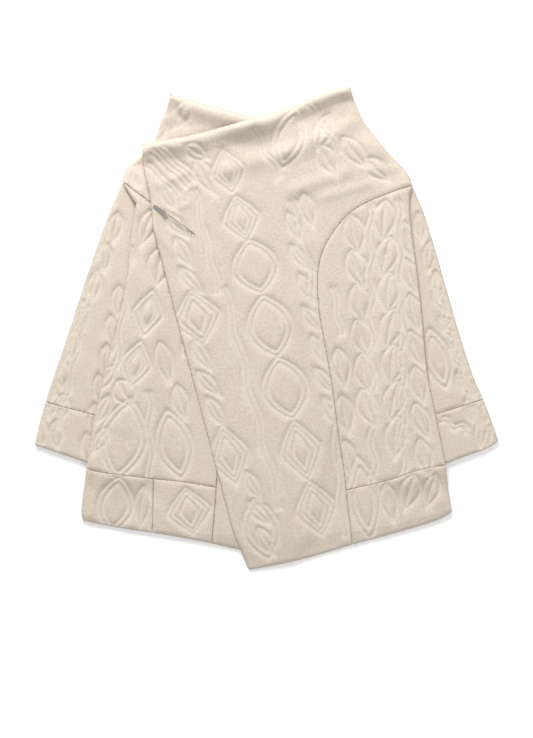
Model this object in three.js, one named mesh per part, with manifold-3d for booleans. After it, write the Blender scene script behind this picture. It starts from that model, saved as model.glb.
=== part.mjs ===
// Raglan wrap cardigan in boiled wool, closed by a single long pin and laid flat on its back.
// Millimetres. X runs across the garment (the wearer's left is +X), Y towards the collar, Z up.
// The garment rests on Z = 0. Each cloth piece is a wall that follows what lies beneath it.
import * as THREE from 'three';
import { mergeVertices } from 'three/addons/utils/BufferGeometryUtils.js';
import Module from 'manifold-3d';

const wasm = await Module();
wasm.setup();

// ---- driving dimensions -------------------------------------------------------------------
const CLOTH = 3.0; // thickness of the boiled wool
const GAP = 0.4; // clearance between layers that lie on each other
const SEAM = 0.3; // clearance between pieces sewn edge to edge
const CURVE_STEP = 19; // length of one straight in a curved edge
const CELL = 25; // grid cell of the body of the garment
const COLLAR_CELL = 12.5; // grid rows in the collar, which is rolled
const HALF_SPAN = 12 * CELL; // the grid reaches this far to each side
const GRID_LOW = -15 * CELL;
const COLLAR_FROM = 9 * CELL; // height above which the collar's rows begin
const GRID_HIGH = 15 * CELL;
const REACH = Math.hypot(CELL, CELL) + 1; // a layer carries the next one this far past its edge
const SKY = 80; // height of the cutting prisms
const STRAIGHT = 1e-3; // a turn less than this, in radians, is none
const BACK_INSET = 2; // the back's edges lie this far inside the fronts' edges

const WIRE_RADIUS = 0.7;
const COIL_RADIUS = 1.9;
const COIL_TURNS = 1.5;
const COIL_PITCH = 1.7;
const PIN_FROM = { x: -169, y: 183 }; // middle of the cap's outer end
const PIN_TO = { x: -110, y: 140 }; // middle of the coil
const CAP_LENGTH = 22;
const CAP_WIDTH = 6.8;
const CAP_HEIGHT = 3.2;
const CAP_BEVEL = 0.6;
const ARM_END = 2.5; // the wires stop this far inside the cap's outer end
const COIL_SIDES = 12; // straights in one turn of the coil
const ARM_STEPS = 4;
const COIL_STEPS = 20;
const NEEDLE_STEPS = 16;

const WOOL = { color: 0xded0c0, roughness: 0.95, metalness: 0 };
const STEEL = { color: 0xb9b4ad, roughness: 0.3, metalness: 1 };

// ---- edges and seams; columns x, y --------------------------------------------------------
// The wearer's right front lies under, the wearer's left front lies over it.
const EDGES = {
  rightNeck: [[-144, 352], [-148, 331], [-159, 307], [-168, 281], [-186, 260], [-201, 247], [-212, 234],
    [-216, 219]],
  rightArmhole: [[-216, 219], [-207, 202], [-195, 185]],
  rightSide: [[-195, 185], [-203, 135], [-209, 72], [-225, -3], [-246, -85], [-257, -135], [-268, -201],
    [-275, -252], [-278, -278]],
  rightHem: [[-275, -289], [-217, -300], [-145, -311], [-87, -322], [-37, -333], [38, -343]],
  underEdge: [[38, -343], [55, -314], [76, -240], [100, -130], [122, -40], [140, 34], [158, 110],
    [171, 160], [172, 200], [165, 270]],
  underTop: [[165, 270], [100, 284], [40, 300], [-15, 315], [-55, 325], [-100, 337], [-144, 352]],
  overTop: [[-186, 276], [-129, 285], [-78, 297], [-40, 307], [-13, 315], [33, 330], [70, 346],
    [103, 359], [122, 363]],
  overEdge: [[-30, -358], [-37, -333], [-48, -313], [-63, -258], [-90, -156], [-114, -65], [-140, 34],
    [-159, 109], [-169, 143], [-172, 184], [-177, 209], [-184, 238], [-186, 276]],
  leftNeck: [[125, 361], [128, 348], [134, 336], [144, 312], [162, 288], [181, 264], [205, 240],
    [214, 228], [218, 212]],
  leftSide: [[218, 212], [213, 196], [215, 159], [225, 84], [232, 22], [240, -67], [251, -121],
    [262, -175], [269, -210], [272, -243], [278, -274]],
  leftHem: [[275, -279], [255, -289], [216, -301], [129, -325], [49, -348], [-25, -363]],
  backNeck: [[-167, 276], [-110, 262], [0, 250], [110, 268], [162, 284]],
  backHem: [[-273, -281], [-140, -303], [0, -312], [140, -303], [273, -272]],
};
const SEAMS = {
  leftFront: [[218, 212], [199, 207], [175, 198], [141, 183], [117, 165], [93, 133], [82, 110], [76, 77],
    [79, 22], [87, -22], [97, -78], [109, -168], [117, -217], [119, -243], [129, -325]],
  rightFront: [[-216, 219], [-174, 187], [-140, 166], [-112, 140], [-90, 104], [-78, 66], [-76, 0],
    [-74, -80], [-72, -160], [-75, -239], [-82, -323]],
  leftBand: [[119, -243], [141, -238], [184, -228], [228, -212], [269, -205]],
  rightBand: [[-269, -211], [-249, -216], [-168, -226], [-123, -231], [-75, -239]],
  rightBandJoint: [[-169, -226], [-171, -308]],
};
const SLEEVES = {
  right: {
    outer: [[-216, 218], [-237, 168], [-267, 84], [-298, -12], [-331, -111], [-347, -173]],
    hem: [[-346, -176], [-298, -192], [-268, -202], [-192, -226]],
    inner: [[-192, -226], [-178, -100], [-176, 40], [-187, 150], [-198, 214]],
    cuff: [[-331, -111], [-253, -132], [-182, -148]],
  },
  left: {
    outer: [[216, 218], [237, 168], [264, 77], [286, 0], [309, -72], [325, -107], [347, -168]],
    hem: [[345, -172], [334, -180], [298, -192], [268, -204], [192, -230]],
    inner: [[192, -230], [180, -100], [180, 40], [194, 150], [201, 214]],
    cuff: [[325, -107], [318, -109], [262, -127], [182, -150]],
  },
};

// ---- folds --------------------------------------------------------------------------------
// The soft roll along a collar's top edge; columns depth below the edge, rise above the bed.
const ROLL = [[-30, 0], [-6, 1], [0, 4], [8, 9], [18, 8], [30, 1.5], [44, 0.5], [56, 0]];
// Ridges pushed up by hand; columns x, y of the start and of the end, half width, rise.
const OVER_RIDGES = [
  { x0: -40, y0: 244, x1: 45, y1: 268, half: 26, rise: 5 },
  { x0: 45, y0: 268, x1: 128, y1: 296, half: 24, rise: 6 },
  { x0: 20, y0: 196, x1: 118, y1: 226, half: 18, rise: 2.5 },
];
const UNDER_RIDGES = [{ x0: -158, y0: 300, x1: -120, y1: 318, half: 18, rise: 3 }];
const UNDER_PRESSED = { from: -20, to: 20, share: 0.2 }; // the hidden part of the under roll is pressed

// ---- plane geometry -----------------------------------------------------------------------
const smooth = (rows) => {
  const curve = new THREE.SplineCurve(rows.map(([x, y]) => new THREE.Vector2(x, y)));
  return curve.getSpacedPoints(Math.max(1, Math.ceil(curve.getLength() / CURVE_STEP)));
};
const reversed = (line) => [...line].reverse();

// Several lines run together, with no doubled point where they meet.
const joined = (...lines) => lines.flat().filter((point, i, all) => (
  i === 0 || point.distanceTo(all[i - 1]) > SEAM
));

// Moves a line sideways, to the left of its direction.
const aside = (line, shift) => line.map((point, i) => {
  const before = line[Math.max(0, i - 1)];
  const after = line[Math.min(line.length - 1, i + 1)];
  const along = after.clone().sub(before).normalize();
  return new THREE.Vector2(point.x - along.y * shift, point.y + along.x * shift);
});

// Draws a line out past both of its ends, so that it cuts right through.
const lengthened = (line, extra) => {
  const first = line[0].clone().sub(line[1]).setLength(extra).add(line[0]);
  const last = line.at(-1).clone().sub(line.at(-2)).setLength(extra).add(line.at(-1));
  return [first, ...line, last];
};

const distanceToLine = (line, x, y) => {
  let nearest = Infinity;
  for (let i = 1; i < line.length; i += 1) {
    const dx = line[i].x - line[i - 1].x;
    const dy = line[i].y - line[i - 1].y;
    const along = ((x - line[i - 1].x) * dx + (y - line[i - 1].y) * dy) / (dx * dx + dy * dy || 1);
    const t = THREE.MathUtils.clamp(along, 0, 1);
    nearest = Math.min(nearest, Math.hypot(x - line[i - 1].x - t * dx, y - line[i - 1].y - t * dy));
  }
  return nearest;
};

const isInside = (outline, x, y) => {
  let inside = false;
  outline.forEach((a, i) => {
    const b = outline[(i + 1) % outline.length];
    const crosses = (a.y > y) !== (b.y > y) && x < a.x + ((y - a.y) * (b.x - a.x)) / (b.y - a.y);
    if (crosses) inside = !inside;
  });
  return inside;
};

const fromTable = (table, value) => {
  if (value <= table[0][0]) return table[0][1];
  for (let i = 1; i < table.length; i += 1) {
    const [x1, y1] = table[i];
    const [x0, y0] = table[i - 1];
    if (value <= x1) return y0 + ((y1 - y0) * (value - x0)) / (x1 - x0);
  }
  return table.at(-1)[1];
};

const ridgeRise = (ridges, x, y) => ridges.reduce((sum, r) => {
  const line = [new THREE.Vector2(r.x0, r.y0), new THREE.Vector2(r.x1, r.y1)];
  const share = THREE.MathUtils.clamp(distanceToLine(line, x, y) / r.half, 0, 1);
  return Math.max(sum, (r.rise * (1 + Math.cos(Math.PI * share))) / 2);
}, 0);

// ---- lines of the cut ---------------------------------------------------------------------
const edge = Object.fromEntries(Object.entries(EDGES).map(([name, rows]) => [name, smooth(rows)]));
const seam = Object.fromEntries(Object.entries(SEAMS).map(([name, rows]) => [name, smooth(rows)]));

const wholeUnder = joined(edge.rightNeck, edge.rightArmhole, edge.rightSide, edge.rightHem,
  edge.underEdge, edge.underTop);
const wholeOver = joined(edge.overTop, edge.leftNeck, edge.leftSide, edge.leftHem, edge.overEdge);
const rightSilhouette = joined(edge.rightNeck, edge.rightArmhole, edge.rightSide);
const leftSilhouette = joined(edge.leftNeck, edge.leftSide);
const isBelow = (height) => (point) => point.y < height;
const wholeBack = [
  ...edge.backNeck,
  ...aside(leftSilhouette, -BACK_INSET).filter(isBelow(EDGES.backNeck.at(-1)[1])),
  ...reversed(edge.backHem),
  ...reversed(aside(rightSilhouette, BACK_INSET).filter(isBelow(EDGES.backNeck[0][1]))),
];
const wholeSleeve = (rows) => [...smooth(rows.outer), ...smooth(rows.hem), ...smooth(rows.inner)];

// ---- the bed: every layer rests on those beneath it ---------------------------------------
const range = (from, to, step) => {
  const count = Math.round((to - from) / step);
  return Array.from({ length: count }, (_, i) => from + i * step);
};
const gridX = [...range(-HALF_SPAN, HALF_SPAN, CELL), HALF_SPAN];
const bodyRows = range(GRID_LOW, COLLAR_FROM, CELL);
const gridY = [...bodyRows, ...range(COLLAR_FROM, GRID_HIGH, COLLAR_CELL), GRID_HIGH];

const layer = (outlines, beneath, thickness, lift) => {
  const isNear = (x, y) => outlines.some((outline) => isInside(outline, x, y)
    || distanceToLine([...outline, outline[0]], x, y) <= REACH);
  const bottom = gridX.map((x, i) => gridY.map((y, j) => {
    const carried = beneath.filter((under) => under.isNear(x, y))
      .map((under) => under.bottom[i][j] + under.thickness + GAP);
    return Math.max(0, ...carried) + lift(x, y);
  }));
  return { bottom, thickness, isNear };
};

const cellOf = (lines, value) => Math.max(0, lines.findIndex((line) => line > value) - 1);

// Height of a layer's top face over a place between the grid's corners.
const topAt = ({ bottom, thickness }, x, y) => {
  const i = cellOf(gridX, x);
  const j = cellOf(gridY, y);
  const u = (x - gridX[i]) / (gridX[i + 1] - gridX[i]);
  const v = (y - gridY[j]) / (gridY[j + 1] - gridY[j]);
  const near = u > v ? bottom[i + 1][j] : bottom[i][j + 1];
  const [across, up] = u > v ? [near - bottom[i][j], bottom[i + 1][j + 1] - near]
    : [bottom[i + 1][j + 1] - near, near - bottom[i][j]];
  return bottom[i][j] + u * across + v * up + thickness;
};

const rollOf = (outline, topLine) => (x, y) => {
  const depth = distanceToLine(topLine, x, y);
  return fromTable(ROLL, isInside(outline, x, y) ? depth : -depth);
};
const overRoll = rollOf(wholeOver, edge.overTop);
const underRoll = rollOf(wholeUnder, edge.underTop);
const pressed = (x) => THREE.MathUtils.lerp(
  1,
  UNDER_PRESSED.share,
  THREE.MathUtils.smoothstep(x, UNDER_PRESSED.from, UNDER_PRESSED.to),
);

const flat = () => 0;
const sleeveOutlines = Object.values(SLEEVES).map(wholeSleeve);
const sleeveLayer = layer(sleeveOutlines, [], 2 * CLOTH + GAP, flat);
const backLayer = layer([wholeBack], [sleeveLayer], CLOTH, flat);
const underLayer = layer([wholeUnder], [sleeveLayer, backLayer], CLOTH,
  (x, y) => Math.max(underRoll(x, y) * pressed(x), ridgeRise(UNDER_RIDGES, x, y)));
const overLayer = layer([wholeOver], [sleeveLayer, backLayer, underLayer], CLOTH,
  (x, y) => Math.max(overRoll(x, y), ridgeRise(OVER_RIDGES, x, y)));

// ---- solids -------------------------------------------------------------------------------
const toManifold = (geometry) => {
  const bare = geometry.index ? geometry : geometry.clone();
  bare.deleteAttribute('normal');
  bare.deleteAttribute('uv');
  const merged = mergeVertices(bare, 1e-5);
  return new wasm.Manifold(new wasm.Mesh({
    numProp: 3,
    vertProperties: new Float32Array(merged.attributes.position.array),
    triVerts: new Uint32Array(merged.index.array),
  }));
};

const toGeometry = (solid) => {
  const { vertProperties, triVerts } = solid.getMesh();
  const geometry = new THREE.BufferGeometry();
  geometry.setAttribute('position', new THREE.BufferAttribute(new Float32Array(vertProperties), 3));
  geometry.setIndex(new THREE.BufferAttribute(new Uint32Array(triVerts), 1));
  geometry.computeVertexNormals();
  return geometry;
};

// An outline without doubled points and without points in the middle of a straight stretch.
const tidied = (outline) => {
  const single = outline.filter((p, i) => p.distanceTo(outline[(i + 1) % outline.length]) > SEAM / 2);
  return single.filter((p, i) => {
    const before = p.clone().sub(single.at(i - 1)).normalize();
    const after = single[(i + 1) % single.length].clone().sub(p).normalize();
    return Math.abs(before.cross(after)) > STRAIGHT;
  });
};

// An upright prism over an outline, from one height to another.
const prism = (outline, from = -1, to = SKY) => {
  const shape = new THREE.Shape(tidied(outline));
  const geometry = new THREE.ExtrudeGeometry(shape, { depth: to - from, bevelEnabled: false });
  return toManifold(geometry.translate(0, 0, from));
};

// The whole grid of a layer as one closed slab.
const slab = ({ bottom, thickness }) => {
  const columns = gridX.length;
  const rows = gridY.length;
  const positions = [];
  [0, thickness].forEach((rise) => gridX.forEach((x, i) => gridY.forEach((y, j) => {
    positions.push(x, y, bottom[i][j] + rise);
  })));
  const at = (level, i, j) => level * columns * rows + i * rows + j;
  const faces = [];
  const quad = (a, b, c, d) => faces.push(a, b, c, a, c, d);
  for (let i = 0; i + 1 < columns; i += 1) {
    for (let j = 0; j + 1 < rows; j += 1) {
      quad(at(1, i, j), at(1, i + 1, j), at(1, i + 1, j + 1), at(1, i, j + 1));
      faces.push(at(0, i, j), at(0, i + 1, j + 1), at(0, i + 1, j));
      faces.push(at(0, i, j), at(0, i, j + 1), at(0, i + 1, j + 1));
    }
  }
  for (let i = 0; i + 1 < columns; i += 1) {
    quad(at(0, i, 0), at(0, i + 1, 0), at(1, i + 1, 0), at(1, i, 0));
    quad(at(0, i + 1, rows - 1), at(0, i, rows - 1), at(1, i, rows - 1), at(1, i + 1, rows - 1));
  }
  for (let j = 0; j + 1 < rows; j += 1) {
    quad(at(0, 0, j + 1), at(0, 0, j), at(1, 0, j), at(1, 0, j + 1));
    quad(at(0, columns - 1, j), at(0, columns - 1, j + 1), at(1, columns - 1, j + 1), at(1, columns - 1, j));
  }
  const geometry = new THREE.BufferGeometry();
  geometry.setAttribute('position', new THREE.Float32BufferAttribute(positions, 3));
  geometry.setIndex(faces);
  return toManifold(geometry);
};

const part = new THREE.Group();
const addPiece = (name, solid, finish) => {
  const mesh = new THREE.Mesh(toGeometry(solid), new THREE.MeshStandardMaterial(finish));
  mesh.name = name;
  part.add(mesh);
};

// A round wire along a path of 3-D points.
const wire = (points, radius, steps) => {
  const section = new THREE.Shape().absarc(0, 0, radius, 0, 2 * Math.PI);
  const extrudePath = new THREE.CatmullRomCurve3(points);
  return toManifold(new THREE.ExtrudeGeometry(section, { steps, curveSegments: 4, extrudePath }));
};

// ---- pin ----------------------------------------------------------------------------------
const pinAlong = new THREE.Vector2(PIN_TO.x - PIN_FROM.x, PIN_TO.y - PIN_FROM.y).normalize();
const pinAcross = new THREE.Vector2(-pinAlong.y, pinAlong.x);
const pinLength = Math.hypot(PIN_TO.x - PIN_FROM.x, PIN_TO.y - PIN_FROM.y);
const WIRE_REST = GAP + WIRE_RADIUS; // height of a wire's middle over the cloth that it lies on

// A point of the pin, from its distance along and across, and a height over the top cloth.
const pinPoint = (along, across, over) => {
  const x = PIN_FROM.x + pinAlong.x * along + pinAcross.x * across;
  const y = PIN_FROM.y + pinAlong.y * along + pinAcross.y * across;
  return new THREE.Vector3(x, y, topAt(overLayer, x, y) + over);
};
const capHeights = [0, CAP_LENGTH / 2, CAP_LENGTH].flatMap((along) => [-CAP_WIDTH / 2, CAP_WIDTH / 2]
  .map((across) => pinPoint(along, across, 0).z));
const capFloor = Math.max(...capHeights) + GAP;
const capMiddle = capFloor + CAP_HEIGHT / 2;
const coilFloor = pinPoint(pinLength, 0, 0).z + WIRE_REST;

const coilPoints = range(0, 1 + COIL_TURNS * COIL_SIDES, 1).map((i) => {
  const turn = (i / COIL_SIDES) * 2 * Math.PI;
  const along = pinLength + COIL_RADIUS * Math.sin(turn);
  const across = COIL_RADIUS * Math.cos(turn);
  return pinPoint(along, across, 0).setZ(coilFloor + COIL_PITCH * (COIL_TURNS - i / COIL_SIDES));
});
// The needle dips through both fronts; columns share of the way from the coil, depth below the top cloth.
const NEEDLE = [[0.08, -WIRE_REST], [0.18, 0.6], [0.3, 3.2], [0.45, 4.6], [0.56, 4.4], [0.68, 1.6]];

// The whole wire at a given radius; past is how far it runs on into the cap beyond its tips.
const pinSolid = (radius, past) => {
  const armTip = pinPoint(ARM_END - past, COIL_RADIUS, 0).setZ(capMiddle);
  const armMiddle = new THREE.Vector3().lerpVectors(armTip, coilPoints[0], 1 / 2);
  const needleTip = pinPoint(ARM_END - past, -COIL_RADIUS, 0).setZ(capMiddle);
  const capMouth = pinPoint(CAP_LENGTH + 1, -COIL_RADIUS, 0).setZ(capMiddle);
  const dip = NEEDLE.map(([share, depth]) => pinPoint(pinLength * (1 - share), -COIL_RADIUS, -depth));
  return wire([armTip, armMiddle, coilPoints[0]], radius, ARM_STEPS)
    .add(wire(coilPoints, radius, COIL_STEPS))
    .add(wire([coilPoints.at(-1), ...dip, capMouth, needleTip], radius, NEEDLE_STEPS));
};
const pinWire = pinSolid(WIRE_RADIUS, 0);
const clothRoom = pinSolid(WIRE_RADIUS + SEAM, 0);
const capRoom = pinSolid(WIRE_RADIUS + SEAM, SEAM);

const roundedBar = (length, width, radius) => {
  const shape = new THREE.Shape();
  shape.absarc(radius, width / 2 - radius, radius, Math.PI / 2, Math.PI);
  shape.absarc(radius, -width / 2 + radius, radius, Math.PI, 1.5 * Math.PI);
  shape.lineTo(length, -width / 2);
  shape.lineTo(length, width / 2);
  return shape;
};
const capShape = roundedBar(CAP_LENGTH - 2 * CAP_BEVEL, CAP_WIDTH - 2 * CAP_BEVEL, CAP_WIDTH / 3);
const capBlock = new THREE.ExtrudeGeometry(capShape, {
  depth: CAP_HEIGHT - 2 * CAP_BEVEL,
  bevelThickness: CAP_BEVEL,
  bevelSize: CAP_BEVEL,
  bevelSegments: 2,
  curveSegments: 4,
});
capBlock.translate(CAP_BEVEL, 0, CAP_BEVEL);
capBlock.rotateZ(Math.atan2(pinAlong.y, pinAlong.x));
capBlock.translate(PIN_FROM.x, PIN_FROM.y, capFloor);

// ---- cloth pieces -------------------------------------------------------------------------
const overSlab = slab(overLayer);
const underSlab = slab(underLayer);
const halfSeam = SEAM / 2;
const CUT_PAST = 30; // cuts along seams are drawn out this far past the cloth
const HOLLOW_PAST = 6; // and a sleeve's hollow this far past its ends
const FAR = 2 * HALF_SPAN;
const corner = (x, y) => new THREE.Vector2(x, y);

// Everything on the +X side of a line that runs down the garment, past its ends.
const beyond = (line, shift) => {
  const cut = aside(lengthened(line, CUT_PAST), shift);
  return prism([...cut, corner(FAR, cut.at(-1).y), corner(FAR, cut[0].y)]);
};
// Everything below a line that runs towards +X.
const below = (line, shift) => {
  const cut = aside(lengthened(line, CUT_PAST), shift);
  return prism([...cut, corner(cut.at(-1).x, -FAR), corner(cut[0].x, -FAR)]);
};

// Wearer's left front, which lies over.
const overPiece = overSlab.intersect(prism(wholeOver)).subtract(clothRoom);
const leftSideZone = (shift) => prism([
  ...aside(lengthened(seam.leftFront, CUT_PAST), shift),
  corner(FAR, -FAR),
  corner(FAR, seam.leftFront[0].y + shift),
]);
addPiece('left_front', overPiece.subtract(leftSideZone(-halfSeam)), WOOL);
const leftSide = overPiece.intersect(leftSideZone(halfSeam));
addPiece('left_side_front', leftSide.subtract(below(seam.leftBand, halfSeam)), WOOL);
addPiece('left_hem_band', leftSide.intersect(below(seam.leftBand, -halfSeam)), WOOL);

// Wearer's right front, which lies under.
const underPiece = underSlab.intersect(prism(wholeUnder)).subtract(clothRoom);
const rightSideZone = (shift) => prism([
  ...aside(lengthened(seam.rightFront, CUT_PAST), shift),
  corner(-FAR, -FAR),
  corner(-FAR, seam.rightFront[0].y + CUT_PAST),
]);
addPiece('right_front', underPiece.subtract(rightSideZone(halfSeam)), WOOL);
const rightSide = underPiece.intersect(rightSideZone(-halfSeam));
addPiece('right_side_front', rightSide.subtract(below(seam.rightBand, halfSeam)), WOOL);
const rightBand = rightSide.intersect(below(seam.rightBand, -halfSeam));
addPiece('right_hem_band_front', rightBand.intersect(beyond(seam.rightBandJoint, halfSeam)), WOOL);
addPiece('right_hem_band_side', rightBand.subtract(beyond(seam.rightBandJoint, -halfSeam)), WOOL);

// Back.
addPiece('back_panel', slab(backLayer).intersect(prism(wholeBack)), WOOL);

// Sleeves: flattened tubes, open at the armhole and at the cuff.
Object.entries(SLEEVES).forEach(([side, rows]) => {
  const turn = side === 'left' ? -1 : 1;
  const tube = prism(wholeSleeve(rows), 0, 2 * CLOTH + GAP);
  const hollow = prism([
    ...aside(lengthened(smooth(rows.outer), HOLLOW_PAST), turn * CLOTH),
    ...aside(lengthened(smooth(rows.inner), HOLLOW_PAST), turn * CLOTH),
  ], CLOTH, CLOTH + GAP);
  const sleeve = tube.subtract(hollow);
  const cuffSeam = turn > 0 ? smooth(rows.cuff) : reversed(smooth(rows.cuff));
  addPiece(`${side}_sleeve`, sleeve.subtract(below(cuffSeam, halfSeam)), WOOL);
  addPiece(`${side}_cuff`, sleeve.intersect(below(cuffSeam, -halfSeam)), WOOL);
});

addPiece('pin_wire', pinWire, STEEL);
addPiece('pin_cap', toManifold(capBlock).subtract(capRoom), STEEL);

export default part;
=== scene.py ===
"""Looks of a flat-laid wrap cardigan in boiled wool, with a raised cable pattern and a long pin."""
import math

import bmesh
import bpy
import numpy as np
from bpy.props import FloatProperty, PointerProperty, StringProperty
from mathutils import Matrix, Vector


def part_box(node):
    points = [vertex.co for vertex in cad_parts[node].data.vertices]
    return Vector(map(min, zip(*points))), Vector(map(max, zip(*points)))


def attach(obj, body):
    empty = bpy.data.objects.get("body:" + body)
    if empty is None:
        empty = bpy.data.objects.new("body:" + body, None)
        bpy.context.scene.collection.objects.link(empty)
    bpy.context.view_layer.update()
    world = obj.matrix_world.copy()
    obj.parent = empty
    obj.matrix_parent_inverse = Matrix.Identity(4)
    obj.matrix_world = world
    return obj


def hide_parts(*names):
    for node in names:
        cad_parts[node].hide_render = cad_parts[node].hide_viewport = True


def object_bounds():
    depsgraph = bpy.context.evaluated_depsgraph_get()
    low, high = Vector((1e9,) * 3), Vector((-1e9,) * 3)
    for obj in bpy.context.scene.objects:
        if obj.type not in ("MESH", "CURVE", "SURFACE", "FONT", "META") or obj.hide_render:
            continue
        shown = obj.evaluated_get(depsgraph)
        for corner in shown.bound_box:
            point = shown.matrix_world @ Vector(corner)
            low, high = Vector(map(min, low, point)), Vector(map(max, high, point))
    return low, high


bl_info = {
    "name": "Wrap cardigan",
    "version": (1, 0, 0),
    "blender": (4, 5, 0),
    "location": "3D View > Sidebar > Cardigan",
    "description": "Makes a flat-laid wrap cardigan in boiled wool with a raised cable pattern",
    "category": "Object",
}

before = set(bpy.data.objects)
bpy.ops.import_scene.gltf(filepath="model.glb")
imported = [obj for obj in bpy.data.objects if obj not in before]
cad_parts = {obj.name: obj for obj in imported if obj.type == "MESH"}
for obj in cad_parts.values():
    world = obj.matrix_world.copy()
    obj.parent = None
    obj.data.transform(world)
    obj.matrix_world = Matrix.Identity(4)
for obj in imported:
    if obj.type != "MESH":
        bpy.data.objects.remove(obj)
CAD_BOX = [list(corner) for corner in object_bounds()]
MM = 0.001

# ---- driving sizes, in mm where nothing else is said ------------------------------------------------
BED_STEP = 2.5  # grid on which the layers are laid on each other
PATTERN_STEP = 1.0  # grid on which the raised pattern is drawn
BORDER = 12  # how far both grids reach past the garment
DRAPE_CELLS = 3  # cells of the bed over which a layer bridges a step in what it lies on
DRAPE_BLUR = 3.0  # cells of the bed over which it comes down softly from there
RAISED = 0.5  # a bed above this height has cloth on it
LOWEST_TROUGH = -0.6  # deepest trough of a layer that others lie on
ROLL_REACH = 60  # how far from a collar's edge its roll is worked out
OUTLINE_STEP = 2.5  # space between the points of a smoothed outline
OUTLINE_BLUR = 9.0  # length over which an outline's bends are smoothed
OUTLINE_CORNER = math.radians(33)  # a sharper turn than this stays a corner
SAME_PLACE = 0.6  # two outline corners this near are one
SHORT_SIDE = 0.4  # a shorter side is left out of an outline
EDGE_REACH = 10.0  # how far from a piece's edge the distance to it is worked out
SEAM_NEAR = 4.5  # an edge this near another piece of the same layer is sewn
SEAM_HEIGHT = 0.9  # share of the cloth's height that a sewn edge keeps
RAW_FLOOR = 0.3  # share of the cloth's height that stays under a raw edge
RELIEF_FADE = 5.0  # length over which the raised pattern comes in from an edge
PATTERN_REACH = 22.0  # how far from its nearest line a place can swell
SWELL = 5.5  # distance from a line at which the cloth has mostly risen
STRAND = 9.0  # width of the strand between a motif's two rims

# ---- the garment's pieces: node, spacing of its mesh in mm, what it lies on, the pattern it shows ---
OVER = ("left_front", "left_side_front", "left_hem_band")
UNDER = ("right_front", "right_side_front", "right_hem_band_front", "right_hem_band_side")
SLEEVES = ("right_sleeve", "right_cuff", "left_sleeve", "left_cuff")
PIECES = {
    "left_front": dict(spacing=1.9, on="right_front", face="over"),
    "left_side_front": dict(spacing=1.7, on="back_panel", face="left_side"),
    "left_hem_band": dict(spacing=1.7, on="back_panel", face="left_side"),
    "right_front": dict(spacing=2.5, on="back_panel", face="under"),
    "right_side_front": dict(spacing=1.7, on="back_panel", face="right_side"),
    "right_hem_band_front": dict(spacing=1.7, on="back_panel", face="right_side"),
    "right_hem_band_side": dict(spacing=1.7, on="back_panel", face="right_side"),
    "back_panel": dict(spacing=3.6, on="floor", face="back"),
    "right_sleeve": dict(spacing=1.8, on="floor", face="right_sleeve"),
    "right_cuff": dict(spacing=1.8, on="floor", face="right_sleeve"),
    "left_sleeve": dict(spacing=1.8, on="floor", face="left_sleeve"),
    "left_cuff": dict(spacing=1.8, on="floor", face="left_sleeve"),
}

# ---- folds, in mm ----------------------------------------------------------------------------------
# Each collar's edge runs between the corners of its front that lie furthest these two ways.
COLLARS = {
    "over": ("left_front", (-1.0, 0.45), (0.25, 1.0)),
    "under": ("right_front", (-0.35, 1.0), (1.0, 0.8)),
}
# The soft roll along a collar's top edge; columns depth below the edge, rise.
ROLL = ((-6, 0.0), (0, 1.0), (3, 5.5), (8, 9.0), (14, 8.5), (22, 4.5), (30, 1.0), (38, 0.3), (50, 0.0))
# Soft ridges (rise above 0) and troughs (below 0); columns x, y of start, of end, half width, rise.
CREASES = {
    "over": (
        (-60, 236, 30, 262, 20, 3.6), (30, 262, 122, 303, 21, 5.2), (38, 205, 118, 232, 15, 2.6),
        (-40, 206, 12, 224, 8, -2.2), (12, 224, 66, 241, 9, -3.0), (66, 241, 126, 262, 9, -2.6),
        (116, 316, 122, 338, 7, -3.2), (-158, 214, -120, 232, 10, 1.8), (-150, 168, -118, 186, 8, 1.4),
        (-172, 150, -138, 112, 9, 1.6), (-116, 60, -96, -20, 16, 1.2), (60, 120, 40, 10, 22, 1.5),
        (0, -200, 20, -300, 24, 1.3), (88, 196, 150, 214, 12, 1.8), (150, 236, 192, 238, 12, 2.0),
        (120, 172, 176, 190, 9, -1.2), (188, 190, 204, 150, 9, 2.0), (166, 172, 178, 120, 10, 1.6),
        (206, 60, 214, -10, 12, 1.4), (150, -40, 164, -150, 20, 1.4), (230, -220, 262, -262, 12, 1.6),
    ),
    "under": (
        (-140, 338, -132, 318, 6, -3.0), (-158, 306, -128, 322, 13, 2.6), (-196, 236, -176, 214, 9, 2.0),
        (-200, 196, -180, 150, 9, 1.8), (-196, 90, -176, 20, 16, 1.6), (-226, -60, -214, -150, 15, 1.6),
        (-150, -90, -130, -190, 18, 1.3), (-250, -232, -262, -276, 11, 1.6),
        (-190, -250, -140, -290, 14, 1.2),
    ),
    "back": ((-120, 120, -90, -60, 26, 1.4), (60, 40, 100, -160, 30, 1.6), (-30, -120, -10, -260, 22, 1.2)),
    "sleeves": (
        (-226, 176, -252, 96, 10, 1.8), (-270, 40, -300, -70, 14, 1.8), (-246, -20, -262, -90, 9, 1.4),
        (-316, -110, -328, -160, 9, 1.2), (226, 176, 244, 96, 8, 1.8), (256, 60, 282, -60, 12, 1.8),
        (262, -60, 276, -120, 9, 1.4), (316, -110, 330, -150, 9, 1.2),
    ),
}

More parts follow.
